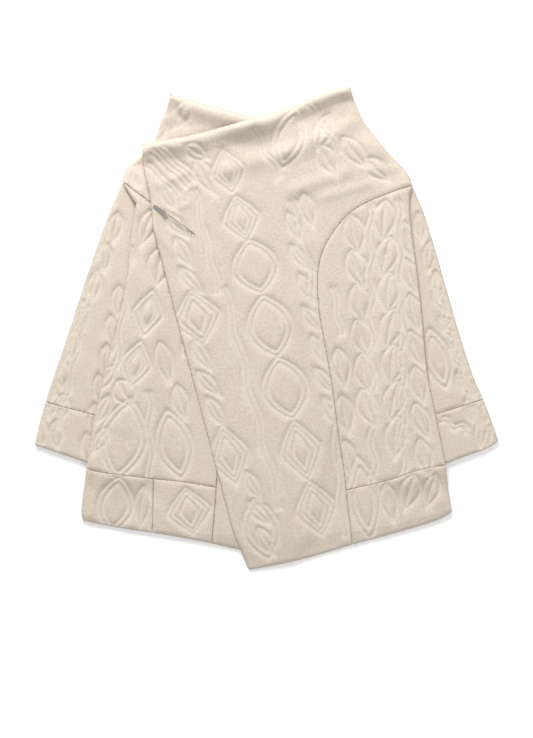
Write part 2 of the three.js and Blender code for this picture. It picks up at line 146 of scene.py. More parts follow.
# ---- raised pattern: columns kind, x, y of the middle, width, height, turn in degrees ---------------
MOTIFS = {
    "over": (
        ("nest", -58, 234, 52, 66, 14), ("nest", -38, 164, 56, 70, 14), ("ogee", -17, 92, 68, 82, 14),
        ("ogee", 5, 3, 68, 94, 14), ("ogee", 28, -90, 68, 94, 14), ("nest", 51, -183, 62, 92, 14),
        ("nest", 74, -270, 62, 84, 14), ("ogee", 34, 284, 48, 92, -14), ("nest", -104, 16, 70, 82, 14),
        ("nest", -56, -190, 60, 90, 14), ("leaf", 84, 292, 26, 60, -20), ("leaf", 92, 250, 28, 56, 30),
        ("ogee", -8, -300, 54, 92, 14), ("leaf", -92, 226, 24, 60, 28), ("leaf", 132, 262, 26, 60, 40),
        ("leaf", 166, 236, 26, 50, 48), ("leaf", 62, 176, 22, 52, 16), ("leaf", -104, 262, 22, 40, 60),
    ),
    "under": (
        ("leaf", -128, 318, 24, 46, -30), ("leaf", -164, 292, 20, 40, -36),
        ("ogee", -196, 226, 30, 40, -30),
    ),
    "left_side": (
        ("ogee", 146, -254, 46, 124, 9), ("leaf", 112, -60, 26, 60, 12), ("leaf", 118, -130, 26, 60, 12),
        ("leaf", 122, -196, 24, 56, 12), ("leaf", 214, -246, 30, 56, -14), ("leaf", 246, -244, 24, 52, -14),
        ("leaf", 184, -262, 24, 60, 12),
    ),
    "right_side": (
        ("nest", -177, 22, 44, 70, -12), ("nest", -195, -54, 46, 70, -12), ("leaf", -160, 92, 34, 60, -8),
        ("leaf", -211, -98, 34, 44, 30), ("ogee", -214, -166, 70, 124, -10),
        ("ogee", -138, -174, 54, 104, 12),
        ("nest", -116, -274, 66, 70, 10), ("ogee", -226, -264, 54, 84, -8), ("leaf", -178, 150, 24, 60, -20),
        ("leaf", -152, -52, 24, 64, 14), ("leaf", -128, -112, 22, 56, 14), ("leaf", -186, -268, 22, 66, -6),
    ),
    "right_sleeve": (), "left_sleeve": (("ogee", 256, -46, 40, 92, 16),), "back": (),
}
# Columns of leaves that lean to one side and the other in turn; columns x, y of the first middle,
# step x, step y, count, width, height, lean in degrees, turn of the column in degrees.
BRAIDS = {
    "over": ((-146, 196, 11, -42, 4, 18, 52, 30, 12), (-96, -42, 10, -42, 3, 18, 52, 30, 14),
             (-20, -236, 10, -42, 3, 18, 50, 30, 14), (42, 150, 9, -46, 7, 16, 50, 26, 12)),
    "left_side": ((132, 140, 4, -52, 6, 30, 60, 16, 4), (176, 160, 3, -54, 7, 32, 62, -16, 5),
                  (212, 130, 4, -54, 7, 24, 58, 16, 6)),
    "right_side": ((-110, 70, 2, -50, 3, 18, 50, -18, -6), (-236, -30, -4, -46, 4, 18, 46, -18, -14)),
    "right_sleeve": ((-226, 150, -16, -44, 8, 18, 46, 20, -20), (-252, 150, -15, -44, 8, 18, 46, -20, -20),
                     (-222, 40, -9, -44, 6, 18, 46, 20, -14), (-306, -120, -8, -40, 2, 20, 44, 20, -18)),
    "left_sleeve": ((230, 150, 13, -44, 8, 16, 46, -20, 18), (262, 40, 12, -42, 5, 18, 46, 20, 18),
                    (300, -40, 12, -42, 4, 18, 44, -20, 18)),
    "under": ((-176, 250, -16, -22, 2, 16, 40, 20, -40),),
    "back": ((-150, 220, 3, -60, 8, 30, 62, 18, 3), (-90, 220, 2, -60, 8, 30, 62, -18, 2),
             (90, 220, -2, -60, 8, 30, 62, 18, -2), (150, 220, -3, -60, 8, 30, 62, -18, -3)),
}
# Pairs of wavy lines; columns x, y of start, of end, swing, length of a wave, space between the two.
WAVES = {
    "over": ((40, 190, 108, -120, 4, 84, 9), (-108, 206, -72, 52, 2, 60, 7),
             (-64, 60, 20, -270, 3, 88, 8), (100, -120, 116, -310, 3, 80, 8),
             (-170, 262, -118, 214, 1, 40, 7), (-156, 268, -104, 222, 1, 40, 7),
             (-178, 244, -132, 200, 1, 40, 7), (-20, 296, 20, 226, 3, 50, 7),
             (64, 334, 110, 262, 3, 50, 7)),
    "left_side": ((100, 60, 112, -10, 2, 50, 7), (154, 188, 160, -230, 4, 62, 8),
                  (196, 190, 206, -220, 3, 62, 7)),
    "right_side": ((-134, 128, -120, -40, 3, 60, 7), (-204, 120, -224, -60, 3, 70, 7),
                   (-176, -96, -172, -300, 3, 70, 7)),
    "right_sleeve": ((-238, 160, -312, -150, 2, 60, 6), (-280, 30, -336, -140, 2, 60, 6)),
    "left_sleeve": ((246, 150, 318, -150, 2, 60, 6), (262, -138, 300, -152, 4, 26, 7),
                    (300, -10, 336, -140, 2, 60, 6)),
    "under": ((-150, 344, -120, 300, 2, 40, 6), (-190, 240, -170, 196, 1, 40, 6)),
    "back": ((-120, 250, -104, -280, 4, 80, 9), (0, 240, 0, -300, 4, 80, 9),
             (120, 250, 104, -280, 4, 80, 9)),
}

# ---- the pin, in mm ---------------------------------------------------------------------------------
CAP_END = (1.2, -2.2)  # from the upper left corner of the cap's box to the wire's line
COIL_END = (-2.4, 2.4)  # from the lower right corner of the wire's box to the coil's middle
CAP_WIDTH = 6.4
CAP_HEIGHT = 3.0
CAP_LIFT = 1.9  # middle of the cap over the cloth
CAP_TAPER = 0.82  # width of its outer end, as a share
CAP_ROUND = 1.25
WIRE_LIFT = 2.2  # middle of the wire over the cloth
WIRE_IN_CAP = 3  # how far along the cap the wire begins
COIL_TURNS = 1.5
COIL_PITCH = 1.5
# How the needle dips through the cloth; columns share of the way from the coil to the cap, height.
NEEDLE = ((0.0, 0.0), (0.08, -1.2), (0.2, -3.4), (0.45, -5.0), (0.62, -3.6), (0.70, 0.6), (1.0, 1.8))

# ---- finishes and stage -----------------------------------------------------------------------------
# Wool fibres and stitches are under 1.5 mm, too fine to show, so both are drawn coarser. Sizes in mm.
FLECK = 2.6
STITCH = 2.4
CLOUD = 38
FELT_DEPTH = 0.7
DRAWN_GRAIN = 0.8
FLOOR_REACH = 6.0  # m
FLOOR_GLOW = 0.22
ROOM_LIGHT = 0.46
SENSOR = 36.0
# Soft lamps; columns name, place in m, size in m, power in W.
LAMPS = (("key", (-0.5, 2.3, 1.5), 1.0, 66.0), ("fill", (1.4, -1.2, 2.2), 2.0, 9.0))


# ---- settings ---------------------------------------------------------------------------------------
class WoolSettings(bpy.types.PropertyGroup):
    thickness: FloatProperty(name="Cloth thickness", description="Thickness of the boiled wool",
                             default=0.003, unit="LENGTH")
    gap: FloatProperty(name="Layer gap", description="Clearance between layers that lie on each other",
                       default=0.0004, unit="LENGTH")
    edge: FloatProperty(name="Edge radius", description="How far in a cut edge begins to round over",
                        default=0.0026, unit="LENGTH")
    groove: FloatProperty(name="Groove depth", description="Depth of the lines of the raised pattern",
                          default=0.0016, unit="LENGTH")
    puff: FloatProperty(name="Puff", description="How far the cloth between the lines stands up",
                        default=0.0014, unit="LENGTH")
    line: FloatProperty(name="Line width", description="Half width of a line of the raised pattern",
                        default=0.0019, unit="LENGTH")
    base: StringProperty(name="Wool", description="Colour of the yarn", default="E3D5C4")
    pale: StringProperty(name="Pale wool", description="Colour of the stretched stitches", default="F4ECE2")
    dark: StringProperty(name="Dark wool", description="Colour of the darker fibres", default="D2BEA8")


class PinSettings(bpy.types.PropertyGroup):
    wire: FloatProperty(name="Wire", description="Diameter of the pin's wire", default=0.0015, unit="LENGTH")
    coil: FloatProperty(name="Coil", description="Radius of the coil", default=0.0019, unit="LENGTH")
    cap: FloatProperty(name="Cap length", description="Length of the cap", default=0.022, unit="LENGTH")
    steel: StringProperty(name="Steel", description="Colour of the plated wire", default="D6D2CC")


class StageSettings(bpy.types.PropertyGroup):
    floor: StringProperty(name="Floor", description="Colour of the floor", default="FFFFFF")
    distance: FloatProperty(name="Camera height", description="Height of the camera over the floor",
                            default=3.0, unit="LENGTH")
    field: FloatProperty(name="Field", description="Length of floor that the camera sees, up the frame",
                         default=1.107, unit="LENGTH")
    below: FloatProperty(name="Middle", description="How far below the garment's middle the camera stands",
                         default=0.0615, unit="LENGTH")


# ---- lines and rasters, in mm --------------------------------------------------------------------
def outline_of(node):
    """The plan outline of a flat CAD node, as points in mm, smoothed between its corners."""
    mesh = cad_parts[node].data
    places = np.array([v.co for v in mesh.vertices]) / MM
    keys = {}
    weld = [keys.setdefault(tuple(np.round(p, 3)), len(keys)) for p in places]
    points = np.array(list(keys))
    high = points[:, 2].max()
    is_tube = node in SLEEVES
    edges = {}
    for face in mesh.polygons:
        if face.normal.z < 0.2 or (is_tube and places[face.vertices[0]][2] < high - 0.5):
            continue
        ring = [weld[i] for i in face.vertices]
        for a, b in zip(ring, ring[1:] + ring[:1]):
            if (b, a) in edges:
                del edges[b, a]
            else:
                edges[a, b] = True
    following = {}
    for a, b in edges:
        following.setdefault(a, []).append(b)
    best, best_area = None, 0.0
    while following:
        start = next(iter(following))
        loop, here = [start], start
        while following:
            if here not in following:
                # The outline goes on from the nearest corner, if it stands at the same place.
                away = {k: float(np.hypot(*(points[k] - points[here])[:2])) for k in following}
                here = min(away, key=away.get)
                if away[here] > SAME_PLACE:
                    break
            there = following[here].pop()
            if not following[here]:
                del following[here]
            if np.hypot(*(points[there] - points[start])[:2]) < 0.02:
                break
            loop.append(there)
            here = there
        ring = points[loop][:, :2]
        area = abs(area_of(ring))
        if area > best_area:
            best, best_area = ring, area
    return smoothed(best)


def area_of(ring):
    """The area inside a ring, below 0 if it runs clockwise."""
    x, y = ring[:, 0], ring[:, 1]
    return 0.5 * float(np.sum(x * np.roll(y, -1) - np.roll(x, -1) * y))


def smoothed(ring, step=OUTLINE_STEP, reach=OUTLINE_BLUR, corner=OUTLINE_CORNER):
    """Evenly spaced points round a ring, with its bends smoothed and its corners kept."""
    length = np.hypot(*(np.roll(ring, -1, 0) - ring).T)
    ring = ring[length > SHORT_SIDE]
    along = np.roll(ring, -1, 0) - ring
    length = np.hypot(*along.T)
    heading = np.arctan2(along[:, 1], along[:, 0])
    turn = (heading - np.roll(heading, 1) + math.pi) % (2 * math.pi) - math.pi
    stations = np.concatenate([[0], np.cumsum(length)])
    total = stations[-1]
    count = int(total / step)
    at = np.arange(count) * total / count
    closed = np.vstack([ring, ring[:1]])
    even = np.stack([np.interp(at, stations, closed[:, k]) for k in (0, 1)], 1)
    span = int(3 * reach / step)
    weights = np.exp(-0.5 * (np.arange(-span, span + 1) * step / reach) ** 2)
    weights /= weights.sum()
    soft = sum(w * np.roll(even, k, 0) for w, k in zip(weights, range(-span, span + 1)))
    corners = stations[:-1][np.abs(turn) > corner]
    if len(corners):
        apart = np.abs(at[:, None] - corners[None])
        nearest = np.minimum(apart, total - apart).min(1)
    else:
        nearest = np.full(count, total)
    share = np.clip((nearest - 2) / (2.2 * reach), 0.0, 1.0)[:, None]
    return even * (1 - share) + soft * share


def filled(ring, xs, ys):
    """Which places of a grid lie inside a ring."""
    x0, y0 = ring.T
    x1, y1 = np.roll(ring, -1, 0).T
    inside = np.zeros((len(xs), len(ys)), bool)
    for j, y in enumerate(ys):
        hit = (y0 > y) != (y1 > y)
        if hit.any():
            crossings = np.sort(x0[hit] + (y - y0[hit]) * (x1[hit] - x0[hit]) / (y1[hit] - y0[hit]))
            inside[:, j] = np.searchsorted(crossings, xs) % 2 == 1
    return inside


def near_line(points, xs, ys, reach, closed=False):
    """Distance from each place of a grid to a line, up to reach, and the line's nearest point."""
    distance = np.full((len(xs), len(ys)), float(reach))
    foot = np.zeros((2, len(xs), len(ys)))
    ends = np.roll(points, -1, 0) if closed else points[1:]
    for a, b in zip(points, ends):
        i0, i1 = np.searchsorted(xs, (min(a[0], b[0]) - reach, max(a[0], b[0]) + reach))
        j0, j1 = np.searchsorted(ys, (min(a[1], b[1]) - reach, max(a[1], b[1]) + reach))
        if i0 == i1 or j0 == j1:
            continue
        gx, gy = xs[i0:i1, None], ys[None, j0:j1]
        dx, dy = b - a
        t = np.clip(((gx - a[0]) * dx + (gy - a[1]) * dy) / (dx * dx + dy * dy + 1e-9), 0, 1)
        px, py = a[0] + t * dx, a[1] + t * dy
        d = np.hypot(gx - px, gy - py)
        closer = d < distance[i0:i1, j0:j1]
        distance[i0:i1, j0:j1][closer] = d[closer]
        foot[0, i0:i1, j0:j1][closer] = px[closer]
        foot[1, i0:i1, j0:j1][closer] = py[closer]
    return distance, foot


def blurred(raster, sigma):
    """A raster softened over sigma cells."""
    span = int(3 * sigma) + 1
    weights = np.exp(-0.5 * (np.arange(-span, span + 1) / sigma) ** 2)
    weights /= weights.sum()
    for axis in (0, 1):
        padded = np.pad(raster, [(span, span) if k == axis else (0, 0) for k in (0, 1)], mode="edge")
        size = raster.shape[axis]
        raster = sum(w * np.take(padded, range(k, k + size), axis) for k, w in enumerate(weights))
    return raster


def grown(raster, steps):
    """A raster whose high places have spread sideways by some cells."""
    for _ in range(steps):
        padded = np.pad(raster, 1, mode="edge")
        raster = np.maximum.reduce([padded[1:-1, 1:-1], padded[2:, 1:-1], padded[:-2, 1:-1],
                                    padded[1:-1, 2:], padded[1:-1, :-2]])
    return raster


class Raster:
    """A height over the whole plan, read between its grid lines."""

    def __init__(self, step):
        low, high = (np.array(corner)[:2] / MM for corner in CAD_BOX)
        self.step = step
        self.xs = np.arange(low[0] - BORDER, high[0] + BORDER, step)
        self.ys = np.arange(low[1] - BORDER, high[1] + BORDER, step)
        self.values = np.zeros((len(self.xs), len(self.ys)))

    def read(self, x, y, values=None):
        """The height at each place, or that of other values on the same grid."""
        u = np.clip((x - self.xs[0]) / self.step, 0, len(self.xs) - 1.001)
        v = np.clip((y - self.ys[0]) / self.step, 0, len(self.ys) - 1.001)
        i, j = u.astype(int), v.astype(int)
        u, v = u - i, v - j
        z = self.values if values is None else values
        return ((z[i, j] * (1 - u) + z[i + 1, j] * u) * (1 - v)
                + (z[i, j + 1] * (1 - u) + z[i + 1, j + 1] * u) * v)


# ---- how the layers lie on each other -------------------------------------------------------------
OUTLINES = {node: outline_of(node) for node in PIECES}
BED = {}


def top_edge(node, left, right):
    """The stretch of a piece's outline between the corners that lie furthest two ways."""
    ring = OUTLINES[node]
    a, b = int(np.argmax(ring @ left)), int(np.argmax(ring @ right))
    one = np.roll(ring, -a, 0)[: (b - a) % len(ring) + 1]
    other = np.roll(ring, -b, 0)[: (a - b) % len(ring) + 1]
    return min((one, other), key=len)


def collar_roll(name, mask, xs, ys):
    """Rise of a collar's roll; it gets narrower to the right, and the under one flattens out inside."""
    node, left, right = COLLARS[name]
    depth, _ = near_line(top_edge(node, np.array(left), np.array(right)), xs, ys, ROLL_REACH)
    depth = np.where(mask, depth, -depth)
    table = np.array(ROLL)
    share = 1.0 if name == "over" else 1 - 0.85 * np.clip((xs[:, None] + 20) / 40, 0, 1)
    narrow = 1.0 + 0.35 * np.clip(xs[:, None] / 120, 0, 1)
    return np.interp(depth * narrow, table[:, 0], table[:, 1]) * share


def crease_height(raster, name):
    """Sum of a layer's ridges and troughs, each fading to its sides."""
    rise = np.zeros_like(raster.values)
    for x0, y0, x1, y1, half, height in CREASES[name]:
        distance, _ = near_line(np.array([[x0, y0], [x1, y1]], float), raster.xs, raster.ys, 2.0 * half)
        rise += height * np.exp(-2.2 * (distance / half) ** 2) * (distance < 2.0 * half)
    return rise


def lay_bed(settings):
    """Works out the underside of each layer, from the floor up, in mm."""
    cloth, gap = settings.thickness / MM, settings.gap / MM
    bed = Raster(BED_STEP)
    order = (("sleeves", SLEEVES, 2 * cloth + gap), ("back", ("back_panel",), cloth),
             ("under", UNDER, cloth), ("over", OVER, cloth))
    for name, nodes, thick in order:
        mask = np.zeros_like(bed.values, bool)
        for node in nodes:
            mask |= filled(OUTLINES[node], bed.xs, bed.ys)
        mask = grown(mask.astype(float), 1) > 0
        draped = np.maximum(blurred(grown(bed.values, DRAPE_CELLS), DRAPE_BLUR), bed.values)
        creases = crease_height(bed, name)
        lower = Raster(BED_STEP)
        if name in COLLARS:
            roll = collar_roll(name, mask, bed.xs, bed.ys)
            lower.values = draped + gap + np.maximum(roll + creases, 0)
            lower.rise = np.zeros_like(draped)
        else:
            lower.values = draped + (gap if name == "back" else 0) * (draped > RAISED)
            lower.rise = np.maximum(creases, LOWEST_TROUGH)
        lower.thick = thick
        BED[name] = lower
        bed.values = np.where(mask, lower.values + lower.rise + thick, bed.values)


# ---- raised pattern ---------------------------------------------------------------------------------
def turned(points, x, y, degrees):
    """Points turned about the origin and then moved to a place."""
    a = math.radians(degrees)
    c, s = math.cos(a), math.sin(a)
    return np.asarray(points) @ np.array([[c, s], [-s, c]]) + (x, y)


def strand(width, height, shape):
    """One side of a motif from its top point to its bottom one."""
    t = np.linspace(0, 1, 22)
    if shape == "nest":
        swell = 1 - np.abs(2 * t - 1) ** 1.25
    elif shape == "leaf":
        swell = np.sin(math.pi * t ** 0.8) ** 1.1
    else:
        swell = np.sin(math.pi * t) ** 0.85
    return np.stack([width / 2 * swell, height / 2 - height * t], 1)


def motif_lines(kind, x, y, width, height, turn, band=STRAND):
    """The lines of a leaf, of an ogee with two rims, or of a diamond nested in another."""
    rims = {"ogee": (1.0, 1 - 2 * band / width), "nest": (1.0, 1 - 2 * band / width, 0.36), "leaf": (1.0,)}
    lines = []
    for share in rims[kind]:
        side = strand(width * share, height * (1 - (1 - share) * 0.62), kind)
        lines += [turned(side, x, y, turn), turned(side * (-1, 1), x, y, turn)]
    if kind == "leaf":
        vein = [(0.0, height * 0.40), (-width * 0.05, 0.0), (0.0, -height * 0.42)]
        lines.append(turned(vein, x, y, turn))
    return lines


def pattern_lines(face):
    """All lines of the pattern on one face of the garment."""
    lines = []
    for row in MOTIFS[face]:
        lines += motif_lines(*row)
    for x, y, dx, dy, count, width, height, lean, turn in BRAIDS[face]:
        for k in range(count):
            way = lean if k % 2 else lean * 0.55
            lines += motif_lines("leaf", x + k * dx, y + k * dy, width, height, turn + way)
    for x0, y0, x1, y1, swing, wave, space in WAVES[face]:
        start, end = np.array([x0, y0], float), np.array([x1, y1], float)
        long = np.hypot(*(end - start))
        t = np.linspace(0, 1, max(6, int(long / 3)))
        side = np.array([-(end - start)[1], (end - start)[0]]) / long
        sway = swing * np.sin(2 * math.pi * t * long / wave)
        for off in (-space / 2, space / 2):
            lines.append(start + t[:, None] * (end - start) + (sway + off)[:, None] * side)
    return lines


def raised_pattern(face, settings):
    """Two rasters: height of the pattern in mm, and how much of a line each place is, from 0 to 1."""
    height, line = Raster(PATTERN_STEP), Raster(PATTERN_STEP)
    half = settings.line / MM
    nearest = np.full_like(height.values, PATTERN_REACH)
    for points in pattern_lines(face):
        distance, _ = near_line(np.asarray(points, float), height.xs, height.ys, PATTERN_REACH)
        nearest = np.minimum(nearest, distance)
    line.values = np.exp(-(nearest / half) ** 2)
    swell = 1 - np.exp(-(nearest / SWELL) ** 2)
    height.values = settings.puff / MM * swell - settings.groove / MM * line.values
    return height, line


# ---- shells -----------------------------------------------------------------------------------------
PATTERNS = {}


def layer_of(node):
    """The name of the layer that a piece lies in."""
    if node in SLEEVES:
        return "sleeves"
    if node in OVER:
        return "over"
    return "under" if node in UNDER else "back"


def corners_of(grid):
    """The four corners of every cell of a grid, in order round the cell."""
    return [grid[:-1, :-1], grid[1:, :-1], grid[1:, 1:], grid[:-1, 1:]]


def cells_of(kept, core):
    """Which places a shell uses, and its faces: the whole cells, then those that lack one corner."""
    flags = corners_of(kept)
    held = np.logical_or.reduce(corners_of(core))
    shapes = [(held & np.logical_and.reduce(flags), range(4))]
    for missing in range(4):
        ring = [k for k in range(4) if k != missing]
        shapes.append((held & ~flags[missing] & np.logical_and.reduce([flags[k] for k in ring]), ring))
    used = np.zeros_like(kept)
    for cell, _ in shapes:
        for corner in corners_of(used):
            corner |= cell
    used &= kept
    number = np.full(kept.shape, -1)
    number[used] = np.arange(int(used.sum()))
    numbers = corners_of(number)
    return used, [np.stack([numbers[k][cell] for k in ring], 1) for cell, ring in shapes]


def make_shell(node, settings):
    """A closed shell of cloth over a piece's outline, as thick as the cloth, with rounded edges."""
    face = PIECES[node]["face"]
    ring = OUTLINES[node]
    step = PIECES[node]["spacing"]
    xs = np.arange(ring[:, 0].min() - 2 * step, ring[:, 0].max() + 2 * step, step)
    ys = np.arange(ring[:, 1].min() - 2 * step, ring[:, 1].max() + 2 * step, step)
    inside = filled(ring, xs, ys)
    distance, foot = near_line(ring, xs, ys, EDGE_REACH, closed=True)
    rim = distance < 0.5 * step
    gx, gy = np.meshgrid(xs, ys, indexing="ij")
    gx, gy = np.where(rim, foot[0], gx), np.where(rim, foot[1], gy)
    depth = np.where(rim, 0.0, distance)
    seam = np.zeros_like(rim)
    for other in PIECES:
        if other != node and layer_of(other) == layer_of(node):
            apart, _ = near_line(OUTLINES[other], xs, ys, SEAM_NEAR + 1.5, closed=True)
            seam |= apart < SEAM_NEAR
    used, faces = cells_of(inside | rim, inside & ~rim)

    if face not in PATTERNS:
        PATTERNS[face] = raised_pattern(face, settings)
    height, lines = PATTERNS[face]
    x, y, s = gx[used], gy[used], depth[used]
    bed = BED[layer_of(node)]
    cloth = settings.thickness / MM
    half = cloth / 2
    radius = settings.edge / MM
    sewn = np.where(seam[used], SEAM_HEIGHT, 0.0)
    round_off = np.sqrt(np.clip(1 - (1 - np.clip(s / radius, 0, 1)) ** 2, 0, 1))
    round_off = sewn + (1 - sewn) * round_off
    fade = np.clip(s / RELIEF_FADE, 0, 1)
    relief = (bed.read(x, y, bed.rise) + height.read(x, y)) * fade
    line = lines.read(x, y) * fade

    # The underside shares the vertices of the rim with the upper side.
    on_rim = s == 0
    off_rim = int((~on_rim).sum())
    below = np.arange(len(s))
    below[~on_rim] = len(s) + np.arange(off_rim)
    # A flattened sleeve has two layers of cloth; only the upper one shows the pattern.
    levels = ((0.0, 0), (cloth + settings.gap / MM, 1)) if node in SLEEVES else ((0.0, 1),)
    places, polygons, values = [], [], []
    for level, shows in levels:
        middle = bed.read(x, y) + half + level
        upper = middle + half * round_off + relief * shows
        lower = middle - half * np.where(s > 0, np.maximum(round_off, RAW_FLOOR), 0)
        start = sum(len(p) for p in places)
        places.append(np.stack([x, y, upper], 1))
        places.append(np.stack([x, y, lower], 1)[~on_rim])
        values += [line * shows, np.zeros(off_rim)]
        polygons += [(f + start).tolist() for f in faces]
        polygons += [(below[f][:, ::-1] + start).tolist() for f in faces]
    places = np.concatenate(places) * MM
    polygons = [f for group in polygons for f in group]

    mesh = bpy.data.meshes.new(f"{node}.cloth")
    mesh.from_pydata(places.tolist(), [], polygons)
    mesh.validate()
    mesh.update()
    mesh.polygons.foreach_set("use_smooth", np.ones(len(mesh.polygons), bool))
    attribute = mesh.attributes.new("pattern_line", "FLOAT", "POINT")
    attribute.data.foreach_set("value", np.concatenate(values).astype(np.float32))
    piece = bpy.data.objects.new(f"{node}.cloth", mesh)
    bpy.context.scene.collection.objects.link(piece)
    return piece


def declare(piece, node):
    """Puts a piece on the garment's one body and hides the CAD node that it stands for."""
    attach(piece, "root")
    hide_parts(node)


# ---- materials --------------------------------------------------------------------------------------
def linear(text):
    """A linear colour from an sRGB hex value."""
    channels = [int(text[i:i + 2], 16) / 255 for i in (0, 2, 4)]
    return [c / 12.92 if c <= 0.04045 else ((c + 0.055) / 1.055) ** 2.4 for c in channels] + [1.0]


def node_in(tree, kind, settings=None, **links):
    """Adds a node with its settings; links name its inputs, and give a value or another node's output."""
    made = tree.nodes.new(kind)
    for key, value in (settings or {}).items():
        setattr(made, key, value)
    for key, value in links.items():
        name = key.replace("_", " ")
        socket = made.inputs[int(key[1:])] if key[0] == "i" and key[1:].isdigit() else made.inputs[name]
        if isinstance(value, bpy.types.NodeSocket):
            tree.links.new(value, socket)
        else:
            socket.default_value = value
    return made


def new_material(name):
    """An empty node material."""
    material = bpy.data.materials.new(name)
    material.use_nodes = True
    tree = material.node_tree
    tree.nodes.clear()
    return material, tree


def boiled_wool(settings):
    """Boiled wool, felted: matte and soft, of mixed pale and dark fibres, and paler along the lines, partly
    from the paler yarn and partly as a painted highlight for the grooves' lit walls.
    """
    material, tree = new_material("Boiled wool, felted and embossed")
    place = node_in(tree, "ShaderNodeTexCoord").outputs["Object"]
    fleck = node_in(tree, "ShaderNodeTexNoise", Vector=place, Scale=1 / (FLECK * MM), Detail=4.0,
                    Roughness=0.7)
    cloud = node_in(tree, "ShaderNodeTexNoise", Vector=place, Scale=1 / (CLOUD * MM), Detail=2.0)
    stitch = node_in(tree, "ShaderNodeTexVoronoi", Vector=place, Scale=1 / (STITCH * MM))
    fleck_range = node_in(tree, "ShaderNodeMapRange", Value=fleck.outputs["Fac"], From_Min=0.36,
                          From_Max=0.64)
    first = node_in(tree, "ShaderNodeMix", {"data_type": "RGBA"}, i0=fleck_range.outputs["Result"],
                    i6=linear(settings.dark), i7=linear(settings.pale))
    base = node_in(tree, "ShaderNodeMix", {"data_type": "RGBA"}, i0=0.5, i6=linear(settings.base),
                   i7=first.outputs[2])
    clouded = node_in(tree, "ShaderNodeMapRange", Value=cloud.outputs["Fac"], From_Min=0.3, From_Max=0.7,
                      To_Min=0.0, To_Max=0.16)
    mottled = node_in(tree, "ShaderNodeMix", {"data_type": "RGBA"}, i0=clouded.outputs["Result"],
                     i6=base.outputs[2], i7=linear(settings.dark))
    line = node_in(tree, "ShaderNodeAttribute", {"attribute_name": "pattern_line"})
    # Paler along the pattern lines: partly the paler yarn, partly a painted highlight standing in for the
    # light on the grooves' lit walls.
    pale_yarn_and_highlight = node_in(tree, "ShaderNodeMath", {"operation": "MULTIPLY"}, i0=line.outputs["Fac"], i1=0.30)
    colour = node_in(tree, "ShaderNodeMix", {"data_type": "RGBA"}, i0=pale_yarn_and_highlight.outputs[0],
                     i6=mottled.outputs[2], i7=linear(settings.pale))
    felt = node_in(tree, "ShaderNodeMath", {"operation": "MULTIPLY_ADD"}, i0=stitch.outputs["Distance"],
                   i1=-0.5, i2=fleck.outputs["Fac"])
    bump = node_in(tree, "ShaderNodeBump", Strength=0.42, Distance=FELT_DEPTH * MM, Height=felt.outputs[0])
    shader = node_in(tree, "ShaderNodeBsdfPrincipled", Base_Color=colour.outputs[2], Roughness=0.95,
                     Normal=bump.outputs["Normal"])
    shader.inputs["Specular IOR Level"].default_value = 0.15
    shader.inputs["Sheen Weight"].default_value = 0.12
    shader.inputs["Sheen Roughness"].default_value = 0.6
    node_in(tree, "ShaderNodeOutputMaterial", Surface=shader.outputs[0])
    return material


def plated_steel(settings):
    """Nickel-plated spring wire: bright, with a faint drawn grain that softens its highlight."""
    material, tree = new_material("Spring steel, nickel plated")
    place = node_in(tree, "ShaderNodeTexCoord").outputs["Object"]
    grain = node_in(tree, "ShaderNodeTexNoise", Vector=place, Scale=1 / (DRAWN_GRAIN * MM), Detail=3.0)
    rough = node_in(tree, "ShaderNodeMapRange", Value=grain.outputs["Fac"], To_Min=0.16, To_Max=0.36)
    shader = node_in(tree, "ShaderNodeBsdfPrincipled", Base_Color=linear(settings.steel), Metallic=1.0,
                     Roughness=rough.outputs["Result"])
    node_in(tree, "ShaderNodeOutputMaterial", Surface=shader.outputs[0])
    return material


FINISHES = {}


def finish_of(make, settings):
    """A material that is made once and then shared."""
    if make.__name__ not in FINISHES:
        FINISHES[make.__name__] = make(settings)
    return FINISHES[make.__name__]


# ---- operators --------------------------------------------------------------------------------------
def make_pieces(context, nodes):
    """Makes the cloth shells of some nodes, once the layers have been laid on each other."""
    settings = context.scene.cardigan_wool
    if not BED:
        lay_bed(settings)
    for node in nodes:
        piece = make_shell(node, settings)
        piece.data.materials.append(finish_of(boiled_wool, settings))
        declare(piece, node)


class CARDIGAN_OT_sleeves(bpy.types.Operator):
    """Makes both sleeves and their cuff bands, flattened and tucked under the body"""
    bl_idname = "cardigan.sleeves"
    bl_label = "Sleeves and cuffs"

    def execute(self, context):
        make_pieces(context, SLEEVES)
        return {"FINISHED"}


class CARDIGAN_OT_back(bpy.types.Operator):
    """Makes the back panel that the fronts lie on"""
    bl_idname = "cardigan.back"
    bl_label = "Back"

    def execute(self, context):
        make_pieces(context, ("back_panel",))
        return {"FINISHED"}


class CARDIGAN_OT_under_front(bpy.types.Operator):
    """Makes the front that lies under: its panel with the collar, its side and its hem bands"""
    bl_idname = "cardigan.under_front"
    bl_label = "Under front"

    def execute(self, context):
        make_pieces(context, UNDER)
        return {"FINISHED"}


class CARDIGAN_OT_over_front(bpy.types.Operator):
    """Makes the front that lies over: its panel with the rolled collar, its side and its hem band"""
    bl_idname = "cardigan.over_front"
    bl_label = "Over front"

    def execute(self, context):
        make_pieces(context, OVER)
        return {"FINISHED"}


def over_top(x, y):
    """Height of the over front's face at a place, in mm."""
    bed = BED["over"]
    return bed.read(np.array([x]), np.array([y]))[0] + bed.thick


def wire_piece(name, points, radius, material):
    """A round wire along some points, as a mesh."""
    curve = bpy.data.curves.new(name, "CURVE")
    curve.dimensions = "3D"
    curve.bevel_depth = radius
    curve.bevel_resolution = 5
    curve.use_fill_caps = True
    spline = curve.splines.new("POLY")
    spline.points.add(len(points) - 1)
    for point, place in zip(spline.points, points):
        point.co = (*place, 1.0)
    made = bpy.data.objects.new(name, curve)
    bpy.context.scene.collection.objects.link(made)
    mesh = bpy.data.meshes.new_from_object(made)
    bpy.data.objects.remove(made)
    mesh.polygons.foreach_set("use_smooth", np.ones(len(mesh.polygons), bool))
    mesh.materials.clear()
    mesh.materials.append(material)
    piece = bpy.data.objects.new(name, mesh)
    bpy.context.scene.collection.objects.link(piece)
    return piece


